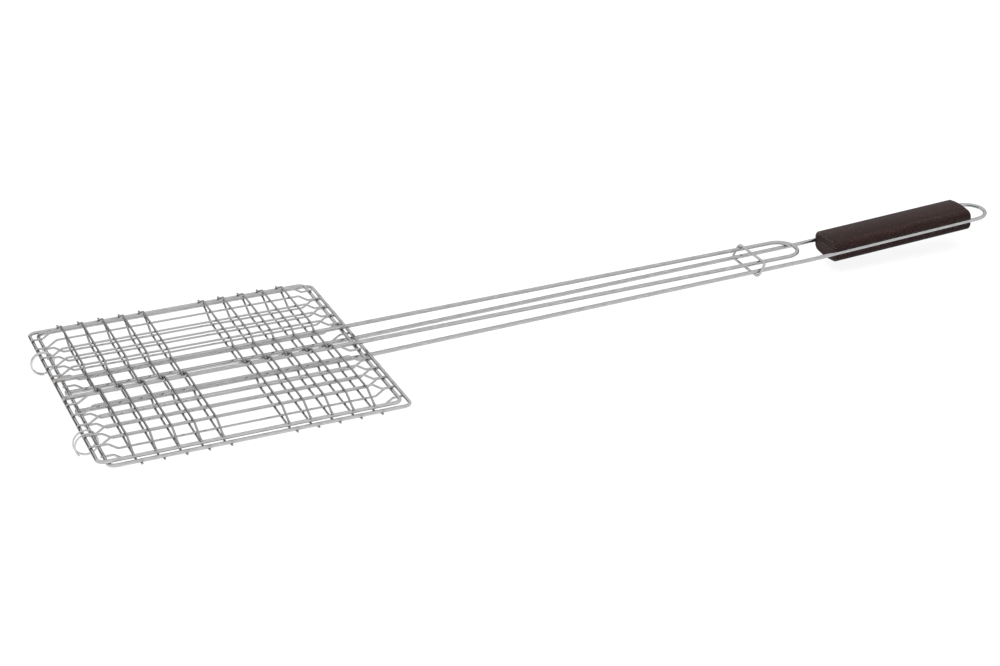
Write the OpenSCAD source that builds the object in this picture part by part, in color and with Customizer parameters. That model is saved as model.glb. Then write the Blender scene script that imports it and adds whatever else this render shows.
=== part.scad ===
// Gridiron: a hinged double-basket wire grill with a wooden grip.
// Two wire halves close on the food. The lower half carries the grip.
// All sizes are in millimetres. X runs to the handle, Z is up.

/* [Basket] */
// Length of each frame, between wire centre lines
basket_len = 205; // [190:1:220]
// Width of the upper frame, between wire centre lines
basket_wid = 201.4; // [196:0.2:212]
// How much further the lower frame reaches on each side
lower_wider = 2.2; // [1:0.1:3]
// Diameter of the frame wire
frame_wire_d = 2.5; // [2.5:0.1:3]
// Diameter of the grid wires
grid_wire_d = 1.5; // [1.2:0.1:1.7]
// Height of the step that lifts the grid off the frame
grid_rise = 4.5; // [3.5:0.1:6]
// Centre line radius of the frame corners
corner_r = 5; // [4:0.5:10]

/* [Handle] */
// Diameter of the handle rods
rod_d = 3; // [2.6:0.1:3.4]
// Length from the basket to the end of the hanging loop
handle_len = 530; // [530:1:560]
// Length of the wooden grip
grip_len = 124; // [100:1:125]
// Width of the wooden grip, across the rods
grip_wid = 31; // [30:0.5:34]
// Thickness of the wooden grip
grip_thk = 18; // [15:0.5:22]
// Diameter of the lock ring wire
lock_wire_d = 2; // [1.6:0.1:2.4]

/* [Hinge rings] */
// Diameter of the hinge ring wire
ring_wire_d = 1.2; // [1:0.1:1.4]
// Centre line diameter of the hinge rings
ring_d = 16; // [15.5:0.1:17]

/* [Hidden] */
$fn = 48;

// The lower half sits this much nearer to the handle
stagger = 6.3;
// Free space between the two frames when the grill is shut
frame_gap = 0.3;
// How deep a welded crossing sinks in
weld = 0.05;
plane_gap = frame_wire_d + frame_gap;
// Heights above the centre of a half's own frame
rod_z = (frame_wire_d + rod_d) / 2 - weld;
long_low_z = (frame_wire_d + grid_wire_d) / 2 - weld;
long_top_z = long_low_z + grid_rise;
cross_top_z = long_top_z + grid_wire_d - weld;
cross_rod_z = rod_z + (rod_d + grid_wire_d) / 2 - weld;
// How far wire tips stand out past the wire they are welded to
tip_out = 1.25;
rod_tip_out = 1.5;
wire_bend_r = 3;
// The two rods lie this much to either side of the middle
rod_shift = 2.7;
// Rods of the lower half
lower_rod_mid = basket_wid / 2 - rod_shift;
lower_rod_half = 14.5;
grip_rise = 2.95;
grip_start = 19.5;
loop_out = 19.5;
lower_bend_x = basket_len + handle_len - loop_out - grip_len - grip_start;
lower_leg_x = basket_len + stagger;
rod_bend_r = 60;
groove_gap = 0.02;
grip_edge_r = 4.9;
grip_end_r = 2.4;
crown_r = 62;
past = 2;
// Rods of the upper half, which end before the lower ones bend
upper_rod_mid = basket_wid / 2 + rod_shift;
upper_rod_half = 13.8;
upper_rise = 0.458;
upper_leg_x = basket_len + 1;
u_to_bend = 17.8;
upper_u_x = lower_bend_x - u_to_bend;
near_rod = upper_rod_mid - upper_rod_half;
far_rod = upper_rod_mid + upper_rod_half;
// The end of the upper rod just clears the lower rod where it crosses it
u_gap = 0.2;
cross_side = lower_rod_mid + lower_rod_half - upper_rod_mid;
meet_x = upper_u_x + sqrt(upper_rod_half * upper_rod_half - cross_side * cross_side);
meet_z = rod_z + (meet_x - upper_leg_x) * tan(upper_rise);
lower_rise = atan((meet_z - rod_d - u_gap + plane_gap + rod_z) / (meet_x - lower_leg_x));
lower_bend_z = -plane_gap - rod_z + (lower_bend_x - lower_leg_x) * tan(lower_rise);
// Long wires: a near group and a far group, with the rods between them
near_margin = 18.9;
far_margin = 15.4;
rod_room = 8.6;
near_pitch = (near_rod - rod_room - near_margin) / 4;
far_pitch = (basket_wid - far_margin - far_rod - rod_room) / 4;
// Cross wires: five, a free space of three steps, and five more
cross_margin = 21;
cross_pitch = (basket_len - 2 * cross_margin) / 11;
piece_gap = 0.15;
// Where the wires step up from their frame and down to the rods
long_step = [7, 13.7];
far_step = [1, 13.1];
near_step = [1, 13.3];
far_rod_step = [0.6, 5.1];
near_rod_step = [1.6, 5.8];
short_over_rod = 2;
// Hinge rings hang under both end wires
ring_r = ring_d / 2;
ring_gap = 0.15;
far_ring_in = 36.6;
near_ring_in = 41.8;
far_ring_wind = 1.5;
near_ring_wind = 5.2;
wire_span = sqrt(stagger * stagger + plane_gap * plane_gap);
ring_reach = ring_r - ring_wire_d / 2 - frame_wire_d / 2 - ring_gap;
ring_drop = sqrt(ring_reach * ring_reach - wire_span * wire_span / 4);
ring_x = stagger / 2 - ring_drop * plane_gap / wire_span;
ring_z = -plane_gap / 2 - ring_drop * stagger / wire_span;
// Lock ring around all four rods
lock_to_bend = 46;
lock_x = lower_bend_x - lock_to_bend;
lock_tilt = 30;
lock_gap = 0.3;
lock_gap_under = 0.7;
lock_corner_r = 3;
rods_apart = 2 * rod_z + plane_gap + (lock_x - upper_leg_x) * tan(upper_rise)
    - (lock_x - lower_leg_x) * tan(lower_rise);
lock_half_h = (rods_apart + rod_d + lock_wire_d + lock_gap + lock_gap_under)
    / (2 * cos(lock_tilt) - sin(lock_tilt) * (tan(upper_rise) + tan(lower_rise)));
lock_y_far = upper_rod_mid + upper_rod_half + rod_d / 2;
lock_y_near = lower_rod_mid - lower_rod_half - rod_d / 2;
lock_half_w = (lock_y_far - lock_y_near + lock_wire_d) / 2 + lock_gap;
lock_top_x = lock_x + lock_half_h * sin(lock_tilt);
lock_top_z = rod_z + (lock_top_x - upper_leg_x) * tan(upper_rise) + (rod_d + lock_wire_d) / 2 + lock_gap;
lock_z = lock_top_z - lock_half_h * cos(lock_tilt);
// Where the whole part stands: middle of its box, on the ground
x_left = ring_x - ring_r - ring_wire_d / 2;
x_right = basket_len + handle_len + rod_d / 2;
z_low = ring_z - ring_r - ring_wire_d / 2;
origin = [-(x_left + x_right) / 2, -basket_wid / 2, -z_low];

steel = [0.72, 0.73, 0.74];
dark_wood = [0.24, 0.17, 0.16];
// How the two halves differ: reach past the upper frame's sides, and which piece is shifted
upper = [0, 1];
lower = [lower_wider, -1];

// Tools for a round wire that is bent in one plane
function heading(p, q) = atan2(q[1] - p[1], q[0] - p[0]);
function turn(pts, i) = heading(pts[i], pts[i + 1]) - heading(pts[i - 1], pts[i]);
function trim(pts, i, r) = (i == 0 || i == len(pts) - 1) ? 0 : r * tan(abs(turn(pts, i)) / 2);

module wire_run(p, q, d, cut_p, cut_q) {
    // A short gap stays free at a bend, closed by a collar a hair thicker than the wire
    gap_p = cut_p > 0 ? 0.05 : 0;
    gap_q = cut_q > 0 ? 0.05 : 0;
    length = norm(q - p);
    translate([p[0], 0, p[1]])
        rotate([0, 90 - heading(p, q), 0]) {
            translate([0, 0, cut_p + gap_p])
                cylinder(h = length - cut_p - cut_q - gap_p - gap_q, d = d);
            for (z = [if (cut_p > 0) cut_p, if (cut_q > 0) length - cut_q])
                translate([0, 0, z]) cylinder(h = 0.3, d = d + 0.06, center = true);
        }
}

module wire_bend(pts, i, r, d) {
    t = turn(pts, i);
    a = heading(pts[i - 1], pts[i]);
    side = t > 0 ? 1 : -1;
    along = [cos(a), sin(a)];
    mid = pts[i] - along * r * tan(abs(t) / 2) + [-along[1], along[0]] * r * side;
    translate([mid[0], 0, mid[1]])
        rotate([90, 0, 0])
            rotate([0, 0, t > 0 ? a - 90 : a + t + 90])
                rotate_extrude(angle = abs(t))
                    translate([r, 0]) circle(d = d);
}

// A wire through the points [x, z], with round bends
module bent_wire(pts, r, d) {
    for (i = [0 : len(pts) - 2])
        wire_run(pts[i], pts[i + 1], d, trim(pts, i, r), trim(pts, i + 1, r));
    for (i = [1 : len(pts) - 2])
        wire_bend(pts, i, r, d);
}

// The same wire, running along Y instead of X
module bent_wire_y(pts, r, d) {
    mirror([1, -1, 0]) bent_wire(pts, r, d);
}

// The lower half is the upper half turned over
module turned_over() {
    translate([stagger, basket_wid, -plane_gap]) rotate([180, 0, 0]) children();
}

module frame_loop(half) {
    l = basket_len;
    w = basket_wid + 2 * half[0];
    r = corner_r;
    translate([0, -half[0], 0]) {
        for (y = [0, w]) translate([r, y, 0]) rotate([0, 90, 0])
            cylinder(h = l - 2 * r, d = frame_wire_d);
        for (x = [0, l]) translate([x, r, 0]) rotate([-90, 0, 0])
            cylinder(h = w - 2 * r, d = frame_wire_d);
        for (c = [[r, r, 180], [l - r, r, 270], [l - r, w - r, 0], [r, w - r, 90]])
            translate([c[0], c[1], 0]) rotate([0, 0, c[2]])
                rotate_extrude(angle = 90) translate([r, 0]) circle(d = frame_wire_d);
    }
}

// Long wires 1 to 5 are the near group, 6 to 10 the far group
function long_y(i) = i <= 5 ? near_margin + (i - 1) * near_pitch
    : basket_wid - far_margin - (10 - i) * far_pitch;

module half_long_wire(i) {
    l = basket_len;
    translate([0, long_y(i), 0])
        bent_wire([[-tip_out, long_low_z], [long_step[0], long_low_z], [long_step[1], long_top_z],
            [l - long_step[1], long_top_z], [l - long_step[0], long_low_z],
            [l + tip_out, long_low_z]], wire_bend_r, grid_wire_d);
}

// Cross wires 1 to 5 are at the hinge end, 6 to 10 at the handle end
function cross_x(i) = cross_margin + (i <= 5 ? i - 1 : i + 1) * cross_pitch;

// Each is two pieces side by side: a long one over both rods, and a short one
module half_cross_wires(i, half) {
    w = basket_wid;
    wider = half[0];
    translate([cross_x(i), 0, 0])
        bent_wire_y([[near_rod - tip_out, cross_rod_z], [far_rod + far_rod_step[0], cross_rod_z],
            [far_rod + far_rod_step[1], cross_top_z], [w - far_step[1], cross_top_z],
            [w + wider - far_step[0], long_low_z], [w + wider + tip_out, long_low_z]],
            wire_bend_r, grid_wire_d);
    translate([cross_x(i) + half[1] * (grid_wire_d + piece_gap), 0, 0])
        bent_wire_y([[-wider - tip_out, long_low_z], [near_step[0] - wider, long_low_z],
            [near_step[1], cross_top_z], [near_rod - near_rod_step[1], cross_top_z],
            [near_rod - near_rod_step[0], cross_rod_z], [near_rod + short_over_rod, cross_rod_z]],
            wire_bend_r, grid_wire_d);
}

// One leg of a rod: flat over the frame, then rising
module rod_leg(flat_end, reach, rise) {
    bent_wire([[-rod_tip_out, rod_z], [flat_end, rod_z],
        [reach, rod_z + (reach - flat_end) * tan(rise)]], rod_bend_r, rod_d);
}

// A half circle of rod, open toward the basket
module rod_end(r) {
    translate([0.05, 0, 0]) rotate([0, 0, -90]) rotate_extrude(angle = 180) translate([r, 0]) circle(d = rod_d);
    for (s = [-1, 1]) translate([0, s * r, 0]) rotate([0, 90, 0])
        cylinder(h = 0.4, d = rod_d + 0.06, center = true);
}

module upper_rod() color(steel) translate(origin) translate([0, upper_rod_mid, 0]) {
    for (s = [-1, 1]) translate([0, s * upper_rod_half, 0])
        rod_leg(upper_leg_x, upper_u_x, upper_rise);
    translate([upper_u_x, 0, rod_z + (upper_u_x - upper_leg_x) * tan(upper_rise)])
        rotate([0, -upper_rise, 0]) rod_end(upper_rod_half);
}

// The lower rod runs flat, rises to the lock ring, then rises more through the grip
module lower_rod() color(steel) translate(origin) translate([0, lower_rod_mid, 0]) {
    low_z = -plane_gap - rod_z;
    loop_x = basket_len + handle_len - lower_rod_half;
    loop_z = lower_bend_z + (loop_x - lower_bend_x) * tan(grip_rise);
    for (s = [-1, 1]) translate([0, s * lower_rod_half, 0])
        bent_wire([[stagger - rod_tip_out, low_z], [lower_leg_x, low_z],
            [lower_bend_x, lower_bend_z], [loop_x, loop_z]], rod_bend_r, rod_d);
    translate([loop_x, 0, loop_z])
        rotate([0, -grip_rise, 0]) rod_end(lower_rod_half);
}

module rounded_plate(l, w, r, h) {
    linear_extrude(height = h, center = true) {
        square([l - 2 * r, w], center = true);
        square([l, w - 2 * r], center = true);
        for (x = [-1, 1], y = [-1, 1])
            translate([x * (l / 2 - r), y * (w / 2 - r)]) circle(r = r);
    }
}

module grip() color(dark_wood) translate(origin)
    translate([lower_bend_x, lower_rod_mid, lower_bend_z]) rotate([0, -grip_rise, 0])
        translate([grip_start + grip_len / 2, 0, 0]) difference() {
            intersection() {
                // Cross-section with round edges
                rotate([90, 0, 90]) rounded_plate(grip_wid, grip_thk, grip_edge_r, grip_len);
                crowned_block();
                // Square ends with eased edges, seen from above and from the side
                rounded_plate(grip_len, grip_wid + past, grip_end_r, grip_thk + past);
                rotate([90, 0, 0]) rounded_plate(grip_len, grip_thk + past, grip_end_r, grip_wid + past);
            }
            for (s = [-1, 1]) translate([0, s * lower_rod_half, 0]) {
                rotate([0, 90, 0]) cylinder(h = grip_len + past, d = rod_d + 2 * groove_gap, center = true);
                translate([0, s * grip_wid / 4, 0])
                    cube([grip_len + past, grip_wid / 2, rod_d + 2 * groove_gap], center = true);
            }
        }

// The wide faces bulge a little
module crowned_block() {
    intersection() {
        cube([grip_len, grip_wid, grip_thk], center = true);
        translate([0, 0, grip_thk / 2 - crown_r]) rotate([0, 90, 0])
            cylinder(h = grip_len + past, r = crown_r, center = true, $fn = 180);
        translate([0, 0, crown_r - grip_thk / 2]) rotate([0, 90, 0])
            cylinder(h = grip_len + past, r = crown_r, center = true, $fn = 180);
    }
}

// A wire ring that goes round more than once, as one unbroken tube
module wound_ring(y0, pitch, first, last) {
    sides = 8;
    n = (last - first) / 15;
    pts = [for (i = [0 : n], j = [0 : sides - 1])
        let (a = first + 15 * i, b = 360 * j / sides, r = ring_r + ring_wire_d / 2 * cos(b))
        [ring_x - r * sin(a), y0 - pitch * a / 360 + ring_wire_d / 2 * sin(b), ring_z + r * cos(a)]];
    sides_of = [for (i = [0 : n - 1], j = [0 : sides - 1], f = [0, 1])
        let (a = i * sides + j, b = i * sides + (j + 1) % sides)
        f == 0 ? [a, b, b + sides] : [a, b + sides, a + sides]];
    ends = [[for (j = [sides - 1 : -1 : 0]) j], [for (j = [0 : sides - 1]) n * sides + j]];
    polyhedron(points = pts, faces = concat(sides_of, ends));
}

module far_hinge_ring() color(steel) translate(origin)
    wound_ring(basket_wid - far_ring_in, far_ring_wind, -105, 540);

module near_hinge_ring() color(steel) translate(origin)
    wound_ring(near_ring_in, near_ring_wind, -135, 495);

module lock_ring() color(steel) translate(origin)
    translate([lock_x, (lock_y_far + lock_y_near) / 2, lock_z]) rotate([0, lock_tilt, 0]) {
        w = lock_half_w;
        h = lock_half_h;
        r = lock_corner_r;
        for (s = [-1, 1]) {
            translate([0, 0, s * h]) rotate([90, 0, 0])
                cylinder(h = 2 * w - 2 * r, d = lock_wire_d, center = true);
            translate([0, s * w, 0]) cylinder(h = 2 * h - 2 * r, d = lock_wire_d, center = true);
        }
        for (c = [[w - r, h - r, 0], [r - w, h - r, 90], [r - w, r - h, 180], [w - r, r - h, 270]])
            translate([0, c[0], c[1]]) rotate([90, 0, 90]) rotate([0, 0, c[2]])
                rotate_extrude(angle = 90) translate([r, 0]) circle(d = lock_wire_d);
    }

module upper_frame() color(steel) translate(origin) frame_loop(upper);
module lower_frame() color(steel) translate(origin) turned_over() frame_loop(lower);
module upper_long_wire_1() color(steel) translate(origin) half_long_wire(1);
module upper_long_wire_2() color(steel) translate(origin) half_long_wire(2);
module upper_long_wire_3() color(steel) translate(origin) half_long_wire(3);
module upper_long_wire_4() color(steel) translate(origin) half_long_wire(4);
module upper_long_wire_5() color(steel) translate(origin) half_long_wire(5);
module upper_long_wire_6() color(steel) translate(origin) half_long_wire(6);
module upper_long_wire_7() color(steel) translate(origin) half_long_wire(7);
module upper_long_wire_8() color(steel) translate(origin) half_long_wire(8);
module upper_long_wire_9() color(steel) translate(origin) half_long_wire(9);
module upper_long_wire_10() color(steel) translate(origin) half_long_wire(10);
module upper_cross_wires_1() color(steel) translate(origin) half_cross_wires(1, upper);
module upper_cross_wires_2() color(steel) translate(origin) half_cross_wires(2, upper);
module upper_cross_wires_3() color(steel) translate(origin) half_cross_wires(3, upper);
module upper_cross_wires_4() color(steel) translate(origin) half_cross_wires(4, upper);
module upper_cross_wires_5() color(steel) translate(origin) half_cross_wires(5, upper);
module upper_cross_wires_6() color(steel) translate(origin) half_cross_wires(6, upper);
module upper_cross_wires_7() color(steel) translate(origin) half_cross_wires(7, upper);
module upper_cross_wires_8() color(steel) translate(origin) half_cross_wires(8, upper);
module upper_cross_wires_9() color(steel) translate(origin) half_cross_wires(9, upper);
module upper_cross_wires_10() color(steel) translate(origin) half_cross_wires(10, upper);
module lower_long_wire_1() color(steel) translate(origin) turned_over() half_long_wire(1);
module lower_long_wire_2() color(steel) translate(origin) turned_over() half_long_wire(2);
module lower_long_wire_3() color(steel) translate(origin) turned_over() half_long_wire(3);
module lower_long_wire_4() color(steel) translate(origin) turned_over() half_long_wire(4);
module lower_long_wire_5() color(steel) translate(origin) turned_over() half_long_wire(5);
module lower_long_wire_6() color(steel) translate(origin) turned_over() half_long_wire(6);
module lower_long_wire_7() color(steel) translate(origin) turned_over() half_long_wire(7);
module lower_long_wire_8() color(steel) translate(origin) turned_over() half_long_wire(8);
module lower_long_wire_9() color(steel) translate(origin) turned_over() half_long_wire(9);
module lower_long_wire_10() color(steel) translate(origin) turned_over() half_long_wire(10);
module lower_cross_wires_1() color(steel) translate(origin) turned_over() half_cross_wires(1, lower);
module lower_cross_wires_2() color(steel) translate(origin) turned_over() half_cross_wires(2, lower);
module lower_cross_wires_3() color(steel) translate(origin) turned_over() half_cross_wires(3, lower);
module lower_cross_wires_4() color(steel) translate(origin) turned_over() half_cross_wires(4, lower);
module lower_cross_wires_5() color(steel) translate(origin) turned_over() half_cross_wires(5, lower);
module lower_cross_wires_6() color(steel) translate(origin) turned_over() half_cross_wires(6, lower);
module lower_cross_wires_7() color(steel) translate(origin) turned_over() half_cross_wires(7, lower);
module lower_cross_wires_8() color(steel) translate(origin) turned_over() half_cross_wires(8, lower);
module lower_cross_wires_9() color(steel) translate(origin) turned_over() half_cross_wires(9, lower);
module lower_cross_wires_10() color(steel) translate(origin) turned_over() half_cross_wires(10, lower);

upper_frame();
upper_rod();
upper_long_wire_1();
upper_long_wire_2();
upper_long_wire_3();
upper_long_wire_4();
upper_long_wire_5();
upper_long_wire_6();
upper_long_wire_7();
upper_long_wire_8();
upper_long_wire_9();
upper_long_wire_10();
upper_cross_wires_1();
upper_cross_wires_2();
upper_cross_wires_3();
upper_cross_wires_4();
upper_cross_wires_5();
upper_cross_wires_6();
upper_cross_wires_7();
upper_cross_wires_8();
upper_cross_wires_9();
upper_cross_wires_10();
lower_frame();
lower_rod();
lower_long_wire_1();
lower_long_wire_2();
lower_long_wire_3();
lower_long_wire_4();
lower_long_wire_5();
lower_long_wire_6();
lower_long_wire_7();
lower_long_wire_8();
lower_long_wire_9();
lower_long_wire_10();
lower_cross_wires_1();
lower_cross_wires_2();
lower_cross_wires_3();
lower_cross_wires_4();
lower_cross_wires_5();
lower_cross_wires_6();
lower_cross_wires_7();
lower_cross_wires_8();
lower_cross_wires_9();
lower_cross_wires_10();
grip();
far_hinge_ring();
near_hinge_ring();
lock_ring();
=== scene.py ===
import math
import random

import bmesh
import bpy
from mathutils import Matrix, Vector


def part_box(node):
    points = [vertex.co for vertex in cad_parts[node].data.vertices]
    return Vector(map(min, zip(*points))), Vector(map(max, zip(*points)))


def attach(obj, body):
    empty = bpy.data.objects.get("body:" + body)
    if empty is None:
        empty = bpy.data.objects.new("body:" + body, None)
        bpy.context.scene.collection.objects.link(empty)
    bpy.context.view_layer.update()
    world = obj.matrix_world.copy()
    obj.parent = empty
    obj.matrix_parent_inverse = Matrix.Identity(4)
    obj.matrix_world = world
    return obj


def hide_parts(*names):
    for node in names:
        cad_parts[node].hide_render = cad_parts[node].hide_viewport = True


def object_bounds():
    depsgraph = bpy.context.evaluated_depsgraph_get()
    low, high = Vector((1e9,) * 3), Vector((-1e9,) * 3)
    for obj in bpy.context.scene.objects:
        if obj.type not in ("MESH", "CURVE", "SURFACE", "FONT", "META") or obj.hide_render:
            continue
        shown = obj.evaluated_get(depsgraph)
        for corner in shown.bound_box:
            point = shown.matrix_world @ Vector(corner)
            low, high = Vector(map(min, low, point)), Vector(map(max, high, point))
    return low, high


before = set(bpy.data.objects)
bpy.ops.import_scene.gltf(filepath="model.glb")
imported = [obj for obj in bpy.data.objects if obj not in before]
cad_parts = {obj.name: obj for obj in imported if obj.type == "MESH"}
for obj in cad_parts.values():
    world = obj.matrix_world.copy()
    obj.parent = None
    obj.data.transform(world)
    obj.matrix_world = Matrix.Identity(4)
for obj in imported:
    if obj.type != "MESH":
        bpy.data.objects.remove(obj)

cad_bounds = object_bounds()
MM = 0.001

# Sizes in millimetres, as the part's source has them

BASKET_LEN = 205.0
BASKET_WID = 201.4
LOWER_WIDER = 2.2
FRAME_D = 2.5
GRID_D = 1.5
ROD_D = 3.0
GRID_RISE = 4.5
CORNER_R = 5.0
HANDLE_LEN = 530.0
GRIP_LEN = 124.0
GRIP_WID = 31.0
GRIP_THK = 18.0
LOCK_D = 2.0
RING_WIRE_D = 1.2
RING_R = 8.0

# Each half has ten long wires and ten places for cross wires, both in two groups of five
WIRES = 10
GROUP = 5
EACH_WIRE = range(1, WIRES + 1)

STAGGER = 6.3
WELD = 0.05
FRAMES_APART = 0.3
TIP_OUT = 1.25
ROD_TIP_OUT = 1.5
WIRE_BEND_R = 3.0
ROD_BEND_R = 60.0
PLANE_GAP = FRAME_D + FRAMES_APART
ROD_Z = (FRAME_D + ROD_D) / 2 - WELD
LONG_LOW_Z = (FRAME_D + GRID_D) / 2 - WELD
LONG_TOP_Z = LONG_LOW_Z + GRID_RISE
CROSS_TOP_Z = LONG_TOP_Z + GRID_D - WELD
CROSS_ROD_Z = ROD_Z + (ROD_D + GRID_D) / 2 - WELD

ROD_SHIFT = 2.7
LOWER_ROD_MID = BASKET_WID / 2 - ROD_SHIFT
LOWER_ROD_HALF = 14.5
GRIP_RISE = math.radians(2.95)
GRIP_START = 19.5
LOOP_OUT = 19.5
LOWER_BEND_X = BASKET_LEN + HANDLE_LEN - LOOP_OUT - GRIP_LEN - GRIP_START
LOWER_LEG_X = BASKET_LEN + STAGGER
UPPER_ROD_MID = BASKET_WID / 2 + ROD_SHIFT
UPPER_ROD_HALF = 13.8
UPPER_RISE = math.radians(0.458)
UPPER_LEG_OUT = 1
UPPER_LEG_X = BASKET_LEN + UPPER_LEG_OUT
U_BEFORE_BEND = 17.8
UPPER_U_X = LOWER_BEND_X - U_BEFORE_BEND
NEAR_ROD = UPPER_ROD_MID - UPPER_ROD_HALF
FAR_ROD = UPPER_ROD_MID + UPPER_ROD_HALF
# The end of the upper rod just clears the lower rod where it crosses it
U_GAP = 0.2
CROSS_SIDE = LOWER_ROD_MID + LOWER_ROD_HALF - UPPER_ROD_MID
MEET_X = UPPER_U_X + math.sqrt(UPPER_ROD_HALF ** 2 - CROSS_SIDE ** 2)
MEET_Z = ROD_Z + (MEET_X - UPPER_LEG_X) * math.tan(UPPER_RISE)
LOWER_RISE = math.atan((MEET_Z - ROD_D - U_GAP + PLANE_GAP + ROD_Z) / (MEET_X - LOWER_LEG_X))
LOWER_BEND_Z = -PLANE_GAP - ROD_Z + (LOWER_BEND_X - LOWER_LEG_X) * math.tan(LOWER_RISE)
LOOP_X = BASKET_LEN + HANDLE_LEN - LOWER_ROD_HALF

NEAR_MARGIN = 18.9
FAR_MARGIN = 15.4
ROD_ROOM = 8.6
NEAR_PITCH = (NEAR_ROD - ROD_ROOM - NEAR_MARGIN) / (GROUP - 1)
FAR_PITCH = (BASKET_WID - FAR_MARGIN - FAR_ROD - ROD_ROOM) / (GROUP - 1)
CROSS_MARGIN = 21.0
# The two groups of cross wires lie three pitches apart
CROSS_PITCH = (BASKET_LEN - 2 * CROSS_MARGIN) / (WIRES + 1)
PIECE_GAP = 0.15
# Where each step in a wire starts and ends, from the frame or rod beside it
LONG_STEP = (7.0, 13.7)
FAR_STEP = (1.0, 13.1)
NEAR_STEP = (1.0, 13.3)
FAR_ROD_STEP = (0.6, 5.1)
NEAR_ROD_STEP = (1.6, 5.8)
SHORT_OVER_ROD = 2.0

LOCK_BEFORE_BEND = 46
LOCK_X = LOWER_BEND_X - LOCK_BEFORE_BEND
LOCK_TILT = math.radians(30)
LOCK_GAP = 0.3
LOCK_GAP_UNDER = 0.7
LOCK_CORNER_R = 3.0
LOCK_SEAM_OFF = 4
RODS_APART = (2 * ROD_Z + PLANE_GAP + (LOCK_X - UPPER_LEG_X) * math.tan(UPPER_RISE)
              - (LOCK_X - LOWER_LEG_X) * math.tan(LOWER_RISE))
LOCK_HALF_H = ((RODS_APART + ROD_D + LOCK_D + LOCK_GAP + LOCK_GAP_UNDER)
               / (2 * math.cos(LOCK_TILT)
                  - math.sin(LOCK_TILT) * (math.tan(UPPER_RISE) + math.tan(LOWER_RISE))))

# The hinge rings: the place of the first turn, the pitch, and the angles in degrees where the wire ends
RING_GAP = 0.15
FAR_RING_IN = 36.6
FAR_RING = (BASKET_WID - FAR_RING_IN, 1.5, -105, 540)
NEAR_RING_IN = 41.8
# The round wire of the near ring stands a little further in, clear of the long wire beside it
NEAR_RING_CLEAR = 0.15
NEAR_RING = (NEAR_RING_IN + NEAR_RING_CLEAR, 5.2, -135, 495)

# How the halves differ: reach past the upper frame's sides, and the way the short pieces are shifted
WIDER = {"upper": 0.0, "lower": LOWER_WIDER}
SHIFT = {"upper": 1, "lower": -1}

# The grip's section: corner radius, groove, rounding at the ends, and the radius of its crowned top
CORNER = 4.9
GROOVE_GAP = 0.02
GROOVE_R = ROD_D / 2 + GROOVE_GAP
GROOVE_EASE = 0.35
END_EASE = 2.4
CROWN_R = 62.0
# A row of points beside the groove keeps its eased edge crisp
BESIDE_GROOVE = 0.6
# At the ends the groove's floor and the edges beside it, up to these reaches, aren't drawn in
FLOOR_REACH = 0.05
FLOOR_INSET = 0.3
EDGE_REACH = 1.2
# Wear is from 0 to 1. An end is worn where its rounding is drawn in between these two depths
SHOULDER_WEAR = 0.15
SIDE_WEAR = 0.3
EDGE_WEAR = 0.9
WORN_FROM = 0.2
WORN_TO = 2.2

# How finely the meshes are made
ARC_STEP = math.radians(9)
RING_STEP = 6
FRAME_SIDES = 20
GRID_SIDES = 14
ROD_SIDES = 24
RING_SIDES = 16
LOCK_SIDES = 20
LONG_RUN = 2.0
SHORT_RUN = 1.0
U_PARTS = 36
CURVE_PARTS = 8
EDGE_PARTS = 3
GRIP_PARTS = 40
# A path steeper than this has no level side to start its section from
STEEP = 0.9

# A weld swells the wire over a reach of about its radius. A cut end has a small chamfer
WELD_REACH = 1.1
WELD_SWELL = 0.07
WELD_UP = 1
BUTT_WELD_OFF = 1
CHAMFER = 0.22
TIP_SIZE = 0.80
# Millimetres of wire to one unit along its texture
UV_LENGTH = 10

# The sway of hand-bent wire: how far, the lengths and weights of its waves, and one turn
LONG_SWAY = 0.06
CROSS_SWAY = 0.07
WAVES = 3
WAVE_LENGTHS = (40, 110)
WAVE_WEIGHTS = (0.3, 1.0)
WAVE_TURN = 6.28

# Colours in linear light
METAL_TINT = (0.6, 0.6, 0.6, 1)
WELD_TINT = (0.30, 0.265, 0.25, 1)
WELD_TINT_PART = 0.7
WELD_ROUGHER = 0.18
STAIN_DEEP = (0.014, 0.0066, 0.0062)
STAIN_MIDDLE = (0.022, 0.0102, 0.0096)
STAIN_PALE = (0.034, 0.0174, 0.0162)
WORN_WOOD = (0.13, 0.105, 0.098, 1)
CARD_COLOUR = (0.022, 0.016, 0.016, 1)

# The camera, from the vanishing lines of the two square frames in the photograph
CAMERA_SENSOR = 36.0
CAMERA_LENS = 75.97
CAMERA_CLIP_END = 20.0
CAMERA_YAW = math.radians(23.653)
CAMERA_DOWN = math.radians(26.166)
CAMERA_ROLL = math.radians(-0.095)
CAMERA_PLACE = (-232.07, -1160.63, 659.06)

# The studio, in metres. A glow or room has one strength as light on the object and one as background
FLOOR_HALF = 6.0
FLOOR_GREY = 0.18
FLOOR_GLOW = (0.35, 0.87)
ROOM = (0.8, 1.0)
CARD_LEFT = -1.60
CARD_RIGHT = -0.48
CARD_Y = 0.50
CARD_HIGH = 0.32
# Name, place, size and power of each lamp
LAMPS = (("key_lamp", (-0.7, -0.5, 1.5), 0.9, 14),
         ("top_lamp", (0.3, 0.3, 1.8), 1.2, 12))

# This script's zero is where the centre lines of the upper frame's hinge end and near side would cross
frame_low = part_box("upper_frame")[0]
ZERO = frame_low + Vector((1, 1, 1)) * (FRAME_D / 2 * MM)


def place(point):
    """A point in millimetres from the script's zero, as a point of the shared frame in metres."""
    return ZERO + Vector(point) * MM


def turned_over(points):
    """The lower half is the upper half turned over about its long axis."""
    return [(x + STAGGER, BASKET_WID - y, -PLANE_GAP - z) for x, y, z in points]


def placed(half, points):
    return turned_over(points) if half == "lower" else points


def vectors(points):
    return [Vector(point) for point in points]


# Paths of wire, in millimetres

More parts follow.
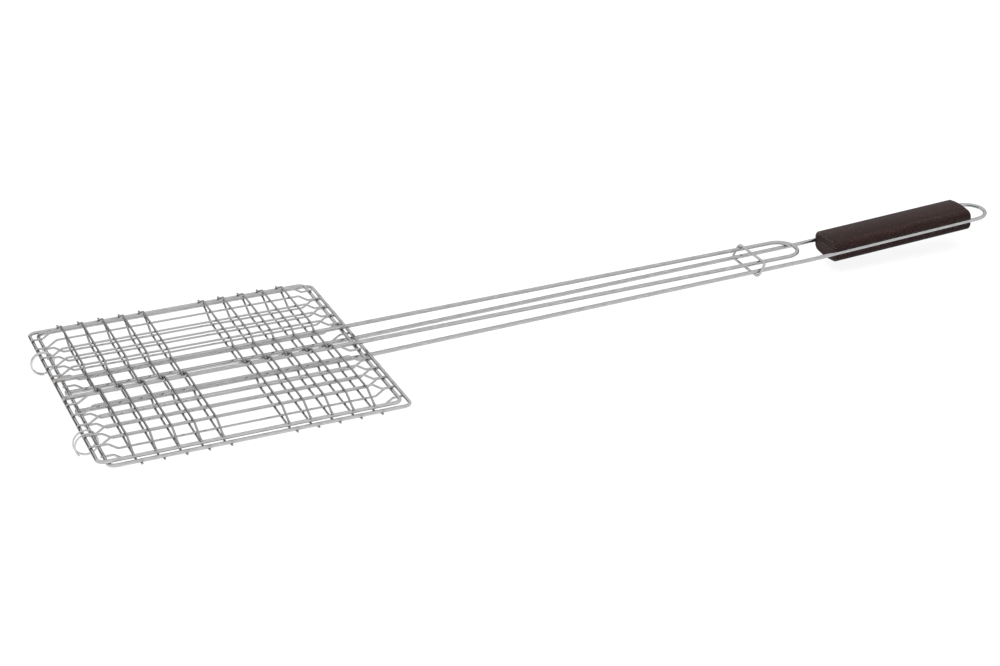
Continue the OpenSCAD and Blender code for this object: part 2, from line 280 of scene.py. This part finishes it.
def rounded_path(corners, radius, step, closed=False):
    """Points along straight runs and round bends, at most step apart on the runs."""
    corners = vectors(corners)
    count = len(corners)
    almost_straight = math.pi / 2 - 1e-4
    legs = []
    for i, corner in enumerate(corners):
        if not closed and i in (0, count - 1):
            legs.append([corner])
            continue
        to_last = (corners[i - 1] - corner).normalized()
        to_next = (corners[(i + 1) % count] - corner).normalized()
        half = to_last.angle(to_next) / 2
        if half > almost_straight:
            legs.append([corner])
            continue
        middle = corner + (to_last + to_next).normalized() * (radius / math.sin(half))
        start = corner + to_last * (radius / math.tan(half)) - middle
        end = corner + to_next * (radius / math.tan(half)) - middle
        sweep = math.pi - 2 * half
        parts = max(2, round(sweep / ARC_STEP))
        arc = []
        for k in range(parts + 1):
            a = sweep * k / parts
            arc.append(middle + (start * math.sin(sweep - a) + end * math.sin(a)) / math.sin(sweep))
        legs.append(arc)
    path = []
    for i, leg in enumerate(legs):
        path += leg
        if closed or i < count - 1:
            start = leg[-1]
            end = legs[(i + 1) % count][0]
            parts = max(1, math.ceil((end - start).length / step))
            path += [start.lerp(end, k / parts) for k in range(1, parts)]
    return path


def wavy(path, across, size, seed):
    """A hand-bent wire isn't quite straight: the path sways a little along one axis."""
    draw = random.Random(seed)
    waves = [(draw.uniform(*WAVE_LENGTHS), draw.uniform(0, WAVE_TURN), draw.uniform(*WAVE_WEIGHTS))
             for _ in range(WAVES)]
    out = []
    run = 0.0
    for i, point in enumerate(path):
        if i:
            run += (point - path[i - 1]).length
        sway = sum(weight * math.sin(run / length * WAVE_TURN + phase) for length, phase, weight in waves)
        out.append(point + Vector(across) * (size * sway / 2))
    return out


# Round wire as a mesh

def add_tube(mesh, path, radius, sides, closed=False, welds=()):
    """Adds one tube to a bmesh. Near a weld the wire swells a little and its weld value is 1."""
    uv = mesh.loops.layers.uv.verify()
    weld_layer = mesh.verts.layers.float.get("weld") or mesh.verts.layers.float.new("weld")
    count = len(path)
    tangents = []
    for i in range(count):
        before = path[i - 1] if (closed or i > 0) else path[0]
        after = path[(i + 1) % count] if (closed or i < count - 1) else path[-1]
        tangents.append((after - before).normalized())
    side = tangents[0].orthogonal().normalized()
    if abs(tangents[0].z) < STEEP:
        side = Vector((0, 0, 1)).cross(tangents[0]).normalized()
    stations = []
    run = 0.0
    for i in range(count):
        side = (side - tangents[i] * side.dot(tangents[i])).normalized()
        if i:
            run += (path[i] - path[i - 1]).length
        near = min(sum(math.exp(-((path[i] - w).length / (WELD_REACH * radius)) ** 2) for w in welds), 1)
        stations.append((path[i], tangents[i], side, radius * (1 + WELD_SWELL * near), run, near))
    if not closed:
        chamfer = CHAMFER * radius
        for index, way in ((0, 1), (-1, -1)):
            point, tangent, across, size, at, near = stations[index]
            edge = (point, tangent, across, radius * TIP_SIZE, at, near)
            inside = (point + tangent * chamfer * way, tangent, across, size, at + chamfer * way, near)
            if index == 0:
                stations[0:1] = [edge, inside]
            else:
                stations[-1:] = [inside, edge]
    rings = []
    for point, tangent, across, size, at, near in stations:
        up = tangent.cross(across)
        ring = []
        for k in range(sides):
            a = 2 * math.pi * k / sides
            vert = mesh.verts.new(place(point + (across * math.cos(a) + up * math.sin(a)) * size))
            vert[weld_layer] = near
            ring.append(vert)
        rings.append((ring, at))
    spans = len(rings) if closed else len(rings) - 1
    for i in range(spans):
        ring_a, at_a = rings[i]
        ring_b, at_b = rings[(i + 1) % len(rings)]
        if closed and i == spans - 1:
            at_b = at_a + (path[0] - path[-1]).length
        for k in range(sides):
            beside = (k + 1) % sides
            face = mesh.faces.new((ring_a[k], ring_a[beside], ring_b[beside], ring_b[k]))
            face.smooth = True
            around = (k / sides, (k + 1) / sides, (k + 1) / sides, k / sides)
            for loop, u, v in zip(face.loops, around, (at_a, at_a, at_b, at_b)):
                loop[uv].uv = (u, v / UV_LENGTH)
    if not closed:
        for cap in (list(reversed(rings[0][0])), rings[-1][0]):
            mesh.faces.new(cap).smooth = False


def finish_piece(mesh, name, body, node, material):
    """Makes the bmesh an object that stands for its CAD node."""
    bmesh.ops.recalc_face_normals(mesh, faces=mesh.faces)
    data = bpy.data.meshes.new(name)
    mesh.to_mesh(data)
    mesh.free()
    data.materials.append(material)
    piece = bpy.data.objects.new(name, data)
    bpy.context.scene.collection.objects.link(piece)
    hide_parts(node)
    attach(piece, body)


# Nodes for the materials

def new_material(name):
    material = bpy.data.materials.new(name)
    material.use_nodes = True
    nodes = material.node_tree.nodes
    return material, nodes, material.node_tree.links, nodes["Principled BSDF"]


def grey(value):
    return (value, value, value)


def add_mapping(nodes, links, vector, scale, rotation=(0, 0, 0)):
    mapping = nodes.new("ShaderNodeMapping")
    mapping.inputs["Scale"].default_value = scale
    mapping.inputs["Rotation"].default_value = rotation
    links.new(vector, mapping.inputs["Vector"])
    return mapping.outputs["Vector"]


def add_noise(nodes, links, vector, scale, detail, roughness=0.5, distortion=0.0):
    noise = nodes.new("ShaderNodeTexNoise")
    noise.inputs["Scale"].default_value = scale
    noise.inputs["Detail"].default_value = detail
    noise.inputs["Roughness"].default_value = roughness
    noise.inputs["Distortion"].default_value = distortion
    links.new(vector, noise.inputs["Vector"])
    return noise.outputs["Fac"]


def add_ramp(nodes, links, factor, stops):
    """Each stop is a position and a colour."""
    ramp = nodes.new("ShaderNodeValToRGB")
    while len(ramp.color_ramp.elements) < len(stops):
        ramp.color_ramp.elements.new(0.5)
    for element, (position, colour) in zip(ramp.color_ramp.elements, stops):
        element.position = position
        element.color = (*colour, 1)
    links.new(factor, ramp.inputs["Fac"])
    return ramp.outputs["Color"]


def add_attribute(nodes, name):
    attribute = nodes.new("ShaderNodeAttribute")
    attribute.attribute_name = name
    return attribute.outputs["Fac"]


def add_math(nodes, links, operation, *values):
    """Each value is a number or the output of another node."""
    node = nodes.new("ShaderNodeMath")
    node.operation = operation
    for socket, value in zip(node.inputs, values):
        if isinstance(value, float):
            socket.default_value = value
        else:
            links.new(value, socket)
    return node.outputs["Value"]


def add_mix(nodes, links, kind, factor, a, b, blend="MIX"):
    """Kind is RGBA or FLOAT. The factor, a and b are each a value or the output of another node."""
    node = nodes.new("ShaderNodeMix")
    node.data_type = kind
    node.blend_type = blend
    for name, value in (("Factor", factor), ("A", a), ("B", b)):
        if isinstance(value, (float, tuple)):
            node.inputs[name].default_value = value
        else:
            links.new(value, node.inputs[name])
    return node.outputs["Result"]


def add_bump(nodes, links, shader, height, strength, distance):
    bump = nodes.new("ShaderNodeBump")
    bump.inputs["Strength"].default_value = strength
    bump.inputs["Distance"].default_value = distance
    links.new(height, bump.inputs["Height"])
    links.new(bump.outputs["Normal"], shader.inputs["Normal"])


# Materials

def wire_metal(name, light, dark, rough_low, rough_high):
    """Plated wire: drawing streaks along it, dull patches, and a darker, rougher tint at each weld."""
    material, nodes, links, shader = new_material(name)
    shader.inputs["Metallic"].default_value = 1.0
    shader.inputs["Specular Tint"].default_value = METAL_TINT
    coords = nodes.new("ShaderNodeTexCoord")
    weld = add_attribute(nodes, "weld")

    stretched = add_mapping(nodes, links, coords.outputs["UV"], scale=(7.0, 0.55, 1.0))
    streaks = add_noise(nodes, links, stretched, scale=3.0, detail=6.0, roughness=0.65)
    streak_colour = add_ramp(nodes, links, streaks, [(0.38, grey(dark)), (0.62, grey(light))])
    weld_part = add_math(nodes, links, "MULTIPLY", weld, WELD_TINT_PART)
    colour = add_mix(nodes, links, "RGBA", weld_part, streak_colour, WELD_TINT)
    links.new(colour, shader.inputs["Base Color"])

    patches = add_noise(nodes, links, coords.outputs["Object"], scale=140.0, detail=5.0)
    dull = add_ramp(nodes, links, patches, [(0.35, grey(rough_low)), (0.68, grey(rough_high))])
    rough = add_math(nodes, links, "MULTIPLY_ADD", weld, WELD_ROUGHER, dull)
    links.new(rough, shader.inputs["Roughness"])
    add_bump(nodes, links, shader, streaks, strength=0.25, distance=0.00004)
    return material


def dark_wood():
    """Dark stained hardwood: grain along the grip, fine pores, pale specks, and worn, paler edges."""
    material, nodes, links, shader = new_material("dark_wood")
    shader.inputs["Specular IOR Level"].default_value = 0.07
    coords = nodes.new("ShaderNodeTexCoord").outputs["Object"]

    along = add_mapping(nodes, links, coords, scale=(9.0, 150.0, 150.0), rotation=(0, GRIP_RISE, 0))
    grain = add_noise(nodes, links, along, scale=1.6, detail=8.0, roughness=0.62, distortion=0.35)
    stain = add_ramp(nodes, links, grain, [(0.30, STAIN_DEEP), (0.52, STAIN_MIDDLE), (0.75, STAIN_PALE)])

    fine = add_mapping(nodes, links, coords, scale=(110.0, 1500.0, 1500.0))
    pores = add_noise(nodes, links, fine, scale=1.0, detail=3.0)
    pore_mask = add_ramp(nodes, links, pores, [(0.30, grey(0.0)), (0.42, grey(1.0))])
    pored = add_mix(nodes, links, "RGBA", 0.55, stain, pore_mask, blend="MULTIPLY")

    scuffs = add_noise(nodes, links, coords, scale=900.0, detail=4.0)
    scuff_mask = add_ramp(nodes, links, scuffs, [(0.50, grey(0.0)), (0.66, grey(1.0))])
    worn_part = add_math(nodes, links, "MULTIPLY", add_attribute(nodes, "wear"), scuff_mask)
    specks = add_noise(nodes, links, coords, scale=1300.0, detail=2.0)
    speck_mask = add_ramp(nodes, links, specks, [(0.64, grey(0.0)), (0.70, grey(0.55))])
    pale_part = add_math(nodes, links, "MAXIMUM", worn_part, speck_mask)
    colour = add_mix(nodes, links, "RGBA", pale_part, pored, WORN_WOOD)
    links.new(colour, shader.inputs["Base Color"])

    rough = add_ramp(nodes, links, grain, [(0.3, grey(0.42)), (0.7, grey(0.56))])
    links.new(rough, shader.inputs["Roughness"])
    add_bump(nodes, links, shader, pore_mask, strength=0.35, distance=0.00012)
    return material


FRAME_METAL = wire_metal("frame_plating", 0.59, 0.39, 0.07, 0.15)
ROD_METAL = wire_metal("rod_plating", 0.55, 0.35, 0.07, 0.15)
LONG_METAL = wire_metal("long_wire_plating", 0.56, 0.36, 0.08, 0.16)
# The cross wires are the same plating as the other wires. Their darker tone is painted dark reflection,
# standing in for the dark surroundings that wires running across the basket reflect
CROSS_METAL_PAINTED_DARK = wire_metal("cross_wire_plating_painted_dark_reflection", 0.42, 0.26, 0.10, 0.18)
RING_METAL = wire_metal("ring_plating", 0.68, 0.50, 0.07, 0.15)
LOCK_METAL = wire_metal("lock_plating", 0.58, 0.40, 0.06, 0.14)
WOOD = dark_wood()


# The wire halves

def long_y(i):
    if i <= GROUP:
        return NEAR_MARGIN + (i - 1) * NEAR_PITCH
    return BASKET_WID - FAR_MARGIN - (WIRES - i) * FAR_PITCH


def cross_x(i):
    """Where the long piece lies. The short piece is beside it."""
    return CROSS_MARGIN + (i - 1 if i <= GROUP else i + 1) * CROSS_PITCH


def short_cross_x(half, i):
    return cross_x(i) + SHIFT[half] * (GRID_D + PIECE_GAP)


def make_frame(half):
    near_side = -WIDER[half]
    far_side = BASKET_WID + WIDER[half]
    corners = [(0, near_side, 0), (BASKET_LEN, near_side, 0), (BASKET_LEN, far_side, 0), (0, far_side, 0)]
    path = rounded_path(placed(half, corners), CORNER_R, LONG_RUN, closed=True)
    welds = []
    for i in EACH_WIRE:
        welds += [(0, long_y(i), WELD_UP), (BASKET_LEN, long_y(i), WELD_UP)]
        welds += [(cross_x(i), far_side, WELD_UP), (short_cross_x(half, i), near_side, WELD_UP)]
    for y in (FAR_ROD, NEAR_ROD):
        welds += [(0, y, WELD_UP), (BASKET_LEN, y, WELD_UP)]
    # The butt weld that closes the frame
    welds.append((BASKET_LEN, BASKET_WID / 2 + BUTT_WELD_OFF, 0))
    mesh = bmesh.new()
    add_tube(mesh, path, FRAME_D / 2, FRAME_SIDES, closed=True, welds=vectors(placed(half, welds)))
    finish_piece(mesh, f"{half}_frame_wire", f"{half}_half", f"{half}_frame", FRAME_METAL)


def make_long_wire(half, i):
    y = long_y(i)
    end = BASKET_LEN
    low, high = LONG_STEP
    corners = [(-TIP_OUT, y, LONG_LOW_Z), (low, y, LONG_LOW_Z), (high, y, LONG_TOP_Z),
               (end - high, y, LONG_TOP_Z), (end - low, y, LONG_LOW_Z), (end + TIP_OUT, y, LONG_LOW_Z)]
    path = rounded_path(placed(half, corners), WIRE_BEND_R, SHORT_RUN)
    path = wavy(path, (0, 1, 0), LONG_SWAY, f"{half} long {i}")
    welds = [(0, y, LONG_LOW_Z), (end, y, LONG_LOW_Z)]
    for k in EACH_WIRE:
        x = cross_x(k) if i > GROUP else short_cross_x(half, k)
        welds.append((x, y, LONG_TOP_Z))
    mesh = bmesh.new()
    add_tube(mesh, path, GRID_D / 2, GRID_SIDES, welds=vectors(placed(half, welds)))
    finish_piece(mesh, f"{half}_long_{i}", f"{half}_half", f"{half}_long_wire_{i}", LONG_METAL)


def make_cross_wires(half, i):
    """The long piece crosses the far group and both rods, the short one the near group and the near rod."""
    side = BASKET_WID + WIDER[half]
    x = cross_x(i)
    long = [(x, NEAR_ROD - TIP_OUT, CROSS_ROD_Z), (x, FAR_ROD + FAR_ROD_STEP[0], CROSS_ROD_Z),
            (x, FAR_ROD + FAR_ROD_STEP[1], CROSS_TOP_Z), (x, BASKET_WID - FAR_STEP[1], CROSS_TOP_Z),
            (x, side - FAR_STEP[0], LONG_LOW_Z), (x, side + TIP_OUT, LONG_LOW_Z)]
    long_welds = [(x, long_y(k), CROSS_TOP_Z) for k in EACH_WIRE[GROUP:]]
    long_welds += [(x, NEAR_ROD, CROSS_ROD_Z), (x, FAR_ROD, CROSS_ROD_Z), (x, side, LONG_LOW_Z)]
    side = -WIDER[half]
    x = short_cross_x(half, i)
    short = [(x, side - TIP_OUT, LONG_LOW_Z), (x, side + NEAR_STEP[0], LONG_LOW_Z),
             (x, NEAR_STEP[1], CROSS_TOP_Z), (x, NEAR_ROD - NEAR_ROD_STEP[1], CROSS_TOP_Z),
             (x, NEAR_ROD - NEAR_ROD_STEP[0], CROSS_ROD_Z), (x, NEAR_ROD + SHORT_OVER_ROD, CROSS_ROD_Z)]
    short_welds = [(x, long_y(k), CROSS_TOP_Z) for k in EACH_WIRE[:GROUP]]
    short_welds += [(x, side, LONG_LOW_Z), (x, NEAR_ROD, CROSS_ROD_Z)]
    mesh = bmesh.new()
    for label, corners, welds in (("long", long, long_welds), ("short", short, short_welds)):
        path = rounded_path(placed(half, corners), WIRE_BEND_R, SHORT_RUN)
        path = wavy(path, (1, 0, 0), CROSS_SWAY, f"{half} cross {label} {i}")
        add_tube(mesh, path, GRID_D / 2, GRID_SIDES, welds=vectors(placed(half, welds)))
    node = f"{half}_cross_wires_{i}"
    finish_piece(mesh, f"{half}_cross_{i}", f"{half}_half", node, CROSS_METAL_PAINTED_DARK)


# The rods

def rod_path(heights, mid, half_gap):
    """A U of rod in plan: heights are [x, z] along a leg, and the last one is where the end bend starts."""
    end_x, end_z = heights[-1]
    last_x, last_z = heights[-2]
    slope = (end_z - last_z) / (end_x - last_x)
    far_leg = rounded_path([(x, mid + half_gap, z) for x, z in heights], ROD_BEND_R, LONG_RUN)
    near_leg = rounded_path([(x, mid - half_gap, z) for x, z in reversed(heights)], ROD_BEND_R, LONG_RUN)
    bend = []
    for k in range(1, U_PARTS):
        a = math.pi * (0.5 - k / U_PARTS)
        out = half_gap * math.cos(a)
        bend.append(Vector((end_x + out, mid + half_gap * math.sin(a), end_z + slope * out)))
    return far_leg + bend + near_leg


def make_rod(half, heights, mid, half_gap, welds):
    mesh = bmesh.new()
    add_tube(mesh, rod_path(heights, mid, half_gap), ROD_D / 2, ROD_SIDES, welds=vectors(welds))
    finish_piece(mesh, f"{half}_rod_wire", f"{half}_half", f"{half}_rod", ROD_METAL)


def make_upper_rod():
    heights = [(-ROD_TIP_OUT, ROD_Z), (UPPER_LEG_X, ROD_Z),
               (UPPER_U_X, ROD_Z + (UPPER_U_X - UPPER_LEG_X) * math.tan(UPPER_RISE))]
    welds = []
    for y in (FAR_ROD, NEAR_ROD):
        welds += [(0, y, ROD_Z), (BASKET_LEN, y, ROD_Z)]
        welds += [(cross_x(i), y, ROD_Z + WELD_UP) for i in EACH_WIRE]
    make_rod("upper", heights, UPPER_ROD_MID, UPPER_ROD_HALF, welds)


def make_lower_rod():
    low_z = -PLANE_GAP - ROD_Z
    heights = [(STAGGER - ROD_TIP_OUT, low_z), (LOWER_LEG_X, low_z), (LOWER_BEND_X, LOWER_BEND_Z),
               (LOOP_X, LOWER_BEND_Z + (LOOP_X - LOWER_BEND_X) * math.tan(GRIP_RISE))]
    welds = []
    for y in (LOWER_ROD_MID - LOWER_ROD_HALF, LOWER_ROD_MID + LOWER_ROD_HALF):
        welds += [(STAGGER, y, low_z), (LOWER_LEG_X, y, low_z)]
        welds += [(cross_x(i) + STAGGER, y, low_z - WELD_UP) for i in EACH_WIRE]
    make_rod("lower", heights, LOWER_ROD_MID, LOWER_ROD_HALF, welds)


# The rings

def make_hinge_ring(name, first_y, pitch, first, last):
    """A wire ring that goes round more than once, hanging under both end wires."""
    span = math.hypot(STAGGER, PLANE_GAP)
    reach = RING_R - RING_WIRE_D / 2 - FRAME_D / 2 - RING_GAP
    drop = math.sqrt(reach ** 2 - span ** 2 / 4)
    mid_x = STAGGER / 2 - drop * PLANE_GAP / span
    mid_z = -PLANE_GAP / 2 - drop * STAGGER / span
    path = []
    steps = round((last - first) / RING_STEP)
    for k in range(steps + 1):
        a = math.radians(first + (last - first) * k / steps)
        y = first_y - pitch * a / (2 * math.pi)
        path.append(Vector((mid_x - RING_R * math.sin(a), y, mid_z + RING_R * math.cos(a))))
    mesh = bmesh.new()
    add_tube(mesh, path, RING_WIRE_D / 2, RING_SIDES)
    finish_piece(mesh, name + "_wire", name, name, RING_METAL)


def make_lock_ring():
    far_side = UPPER_ROD_MID + UPPER_ROD_HALF + ROD_D / 2
    near_side = LOWER_ROD_MID - LOWER_ROD_HALF - ROD_D / 2
    half_w = (far_side - near_side + LOCK_D) / 2 + LOCK_GAP
    mid_y = (far_side + near_side) / 2
    top_x = LOCK_X + LOCK_HALF_H * math.sin(LOCK_TILT)
    rod_there = ROD_Z + (top_x - UPPER_LEG_X) * math.tan(UPPER_RISE)
    top_z = rod_there + (ROD_D + LOCK_D) / 2 + LOCK_GAP
    mid_z = top_z - LOCK_HALF_H * math.cos(LOCK_TILT)
    corners = []
    for y, h in ((-half_w, -LOCK_HALF_H), (half_w, -LOCK_HALF_H),
                 (half_w, LOCK_HALF_H), (-half_w, LOCK_HALF_H)):
        corners.append((LOCK_X + h * math.sin(LOCK_TILT), mid_y + y, mid_z + h * math.cos(LOCK_TILT)))
    path = rounded_path(corners, LOCK_CORNER_R, SHORT_RUN, closed=True)
    seam = Vector((corners[0][0], mid_y - LOCK_SEAM_OFF, corners[0][2]))
    mesh = bmesh.new()
    add_tube(mesh, path, LOCK_D / 2, LOCK_SIDES, closed=True, welds=[seam])
    finish_piece(mesh, "lock_ring_wire", "lock_ring", "lock_ring", LOCK_METAL)


# The wooden grip

def grip_quarter():
    """Section points from the top middle to the middle of one side, as y, z and wear."""
    half_w = GRIP_WID / 2
    half_t = GRIP_THK / 2
    flat = half_w - CORNER
    points = []
    for k in range(CURVE_PARTS + 1):
        y = flat * k / CURVE_PARTS
        points.append((y, math.sqrt(CROWN_R ** 2 - y ** 2) - CROWN_R + half_t, 0.0))
    shoulder = points[-1][1] - CORNER
    for k in range(1, CURVE_PARTS + 1):
        a = math.radians(90 - 90 * k / CURVE_PARTS)
        points.append((flat + CORNER * math.cos(a), shoulder + CORNER * math.sin(a), SHOULDER_WEAR))
    ease = GROOVE_EASE
    points.append((half_w, GROOVE_R + ease + BESIDE_GROOVE, SIDE_WEAR))
    for k in range(EDGE_PARTS + 1):
        a = math.radians(90 * k / EDGE_PARTS)
        points.append((half_w - ease + ease * math.cos(a), GROOVE_R + ease - ease * math.sin(a),
                       EDGE_WEAR))
    for k in range(CURVE_PARTS + 1):
        a = math.radians(90 + 90 * k / CURVE_PARTS)
        points.append((LOWER_ROD_HALF + GROOVE_R * math.cos(a), GROOVE_R * math.sin(a), 0.0))
    return points


def grip_section():
    quarter = grip_quarter()
    right = quarter + [(y, -z, wear) for y, z, wear in reversed(quarter[:-1])]
    left = [(-y, z, wear) for y, z, wear in reversed(right[1:-1])]
    return right + left


def grip_stations():
    """Places along the grip, each with how far its section is drawn in there."""
    rounding = []
    for k in range(CURVE_PARTS + 1):
        a = math.radians(90 * k / CURVE_PARTS)
        rounding.append((END_EASE * (1 - math.cos(a)), END_EASE * (1 - math.sin(a))))
    straight = GRIP_LEN - 2 * END_EASE
    middle = [(END_EASE + straight * k / GRIP_PARTS, 0.0) for k in range(1, GRIP_PARTS)]
    return rounding + middle + [(GRIP_LEN - at, inset) for at, inset in reversed(rounding)]


def make_grip():
    section = grip_section()
    mesh = bmesh.new()
    wear_layer = mesh.verts.layers.float.new("wear")
    half_w = GRIP_WID / 2
    half_t = GRIP_THK / 2
    turn = Matrix.Rotation(-GRIP_RISE, 3, "Y")
    base = Vector((LOWER_BEND_X, LOWER_ROD_MID, LOWER_BEND_Z))
    rings = []
    for at, inset in grip_stations():
        end_wear = EDGE_WEAR if WORN_FROM < inset < WORN_TO else 0.0
        ring = []
        for y, z, wear in section:
            new_y = y * (1 - inset / half_w)
            new_z = z * (1 - inset / half_t)
            # The groove keeps its shape to the end, and so does the edge beside it
            if abs(z) < GROOVE_R + FLOOR_REACH and abs(y) < half_w - FLOOR_INSET:
                new_y = math.copysign(min(abs(y), half_w - inset), y)
                new_z = z
            elif abs(z) < GROOVE_R + EDGE_REACH:
                new_z = z
            vert = mesh.verts.new(place(base + turn @ Vector((GRIP_START + at, new_y, new_z))))
            vert[wear_layer] = min(1.0, wear + end_wear)
            ring.append(vert)
        rings.append(ring)
    count = len(section)
    for a, b in zip(rings, rings[1:]):
        for k in range(count):
            beside = (k + 1) % count
            mesh.faces.new((a[k], a[beside], b[beside], b[k])).smooth = True
    mesh.faces.new(rings[0])
    mesh.faces.new(list(reversed(rings[-1])))
    finish_piece(mesh, "grip_wood", "lower_half", "grip", WOOD)


for half in ("upper", "lower"):
    make_frame(half)
    for i in EACH_WIRE:
        make_long_wire(half, i)
        make_cross_wires(half, i)
make_upper_rod()
make_lower_rod()
make_hinge_ring("far_hinge_ring", *FAR_RING)
make_hinge_ring("near_hinge_ring", *NEAR_RING)
make_lock_ring()
make_grip()


# Studio

def seen_strength(nodes, links, on_object, seen):
    """The strength seen for what the camera sees, straight or in metal and glass, else on_object."""
    path = nodes.new("ShaderNodeLightPath")
    background = path.outputs["Is Camera Ray"]
    for name in ("Is Glossy Ray", "Is Transmission Ray"):
        background = add_math(nodes, links, "MAXIMUM", background, path.outputs[name])
    return add_mix(nodes, links, "FLOAT", background, on_object, seen)


def add_stage(mesh, name, material):
    data = bpy.data.meshes.new(name)
    mesh.to_mesh(data)
    mesh.free()
    data.materials.append(material)
    stage = bpy.data.objects.new(name, data)
    bpy.context.scene.collection.objects.link(stage)
    return stage


def make_floor():
    """White to the camera and in the metal, with the object's shadow on it."""
    material, nodes, links, shader = new_material("white_floor")
    nodes.clear()
    output = nodes.new("ShaderNodeOutputMaterial")
    diffuse = nodes.new("ShaderNodeBsdfDiffuse")
    diffuse.inputs["Color"].default_value = (*grey(FLOOR_GREY), 1)
    glow = nodes.new("ShaderNodeEmission")
    links.new(seen_strength(nodes, links, *FLOOR_GLOW), glow.inputs["Strength"])
    both = nodes.new("ShaderNodeAddShader")
    links.new(diffuse.outputs["BSDF"], both.inputs[0])
    links.new(glow.outputs["Emission"], both.inputs[1])
    links.new(both.outputs["Shader"], output.inputs["Surface"])
    mesh = bmesh.new()
    bmesh.ops.create_grid(mesh, x_segments=1, y_segments=1, size=FLOOR_HALF)
    floor = add_stage(mesh, "floor", material)
    floor.location = (0, 0, cad_bounds[0][2])


def make_dark_card():
    """A dark card behind and left of the hinge end. Only reflections see it, as the dark lines on the
    wires that run across the basket."""
    material, nodes, links, shader = new_material("dark_card_felt")
    shader.inputs["Base Color"].default_value = CARD_COLOUR
    shader.inputs["Roughness"].default_value = 0.9
    mesh = bmesh.new()
    corners = ((CARD_LEFT, 0.0), (CARD_RIGHT, 0.0), (CARD_RIGHT, CARD_HIGH), (CARD_LEFT, CARD_HIGH))
    mesh.faces.new([mesh.verts.new((x, CARD_Y, z)) for x, z in corners])
    card = add_stage(mesh, "dark_card", material)
    card.visible_camera = False
    card.visible_diffuse = False
    card.visible_shadow = False


def make_world():
    """A white room to the camera and in the metal, and soft light at a plain level on the object."""
    world = bpy.data.worlds.new("studio")
    bpy.context.scene.world = world
    world.use_nodes = True
    nodes = world.node_tree.nodes
    links = world.node_tree.links
    nodes.clear()
    output = nodes.new("ShaderNodeOutputWorld")
    room = nodes.new("ShaderNodeBackground")
    room.inputs["Color"].default_value = (1, 1, 1, 1)
    links.new(seen_strength(nodes, links, *ROOM), room.inputs["Strength"])
    links.new(room.outputs["Background"], output.inputs["Surface"])


def make_lamp(name, location, size, power):
    """A square lamp that faces the object and doesn't show in the metal."""
    data = bpy.data.lights.new(name, "AREA")
    data.size = size
    data.energy = power
    lamp = bpy.data.objects.new(name, data)
    lamp.location = location
    lamp.rotation_euler = (-Vector(location)).to_track_quat("-Z", "Y").to_euler()
    lamp.visible_glossy = False
    bpy.context.scene.collection.objects.link(lamp)


def make_camera():
    data = bpy.data.cameras.new("camera")
    data.sensor_width = CAMERA_SENSOR
    data.lens = CAMERA_LENS
    data.clip_end = CAMERA_CLIP_END
    camera = bpy.data.objects.new("camera", data)
    forward = Vector((math.sin(CAMERA_YAW) * math.cos(CAMERA_DOWN),
                      math.cos(CAMERA_YAW) * math.cos(CAMERA_DOWN), -math.sin(CAMERA_DOWN)))
    level_right = Vector((math.cos(CAMERA_YAW), -math.sin(CAMERA_YAW), 0))
    level_up = level_right.cross(forward)
    right = level_right * math.cos(CAMERA_ROLL) + level_up * math.sin(CAMERA_ROLL)
    up = right.cross(forward)
    turn = Matrix((right, up, -forward)).transposed()
    camera.matrix_world = Matrix.Translation(place(CAMERA_PLACE)) @ turn.to_4x4()
    bpy.context.scene.collection.objects.link(camera)
    bpy.context.scene.camera = camera


make_camera()
make_floor()
make_dark_card()
make_world()
for lamp in LAMPS:
    make_lamp(*lamp)
bpy.context.scene.view_settings.view_transform = "Standard"
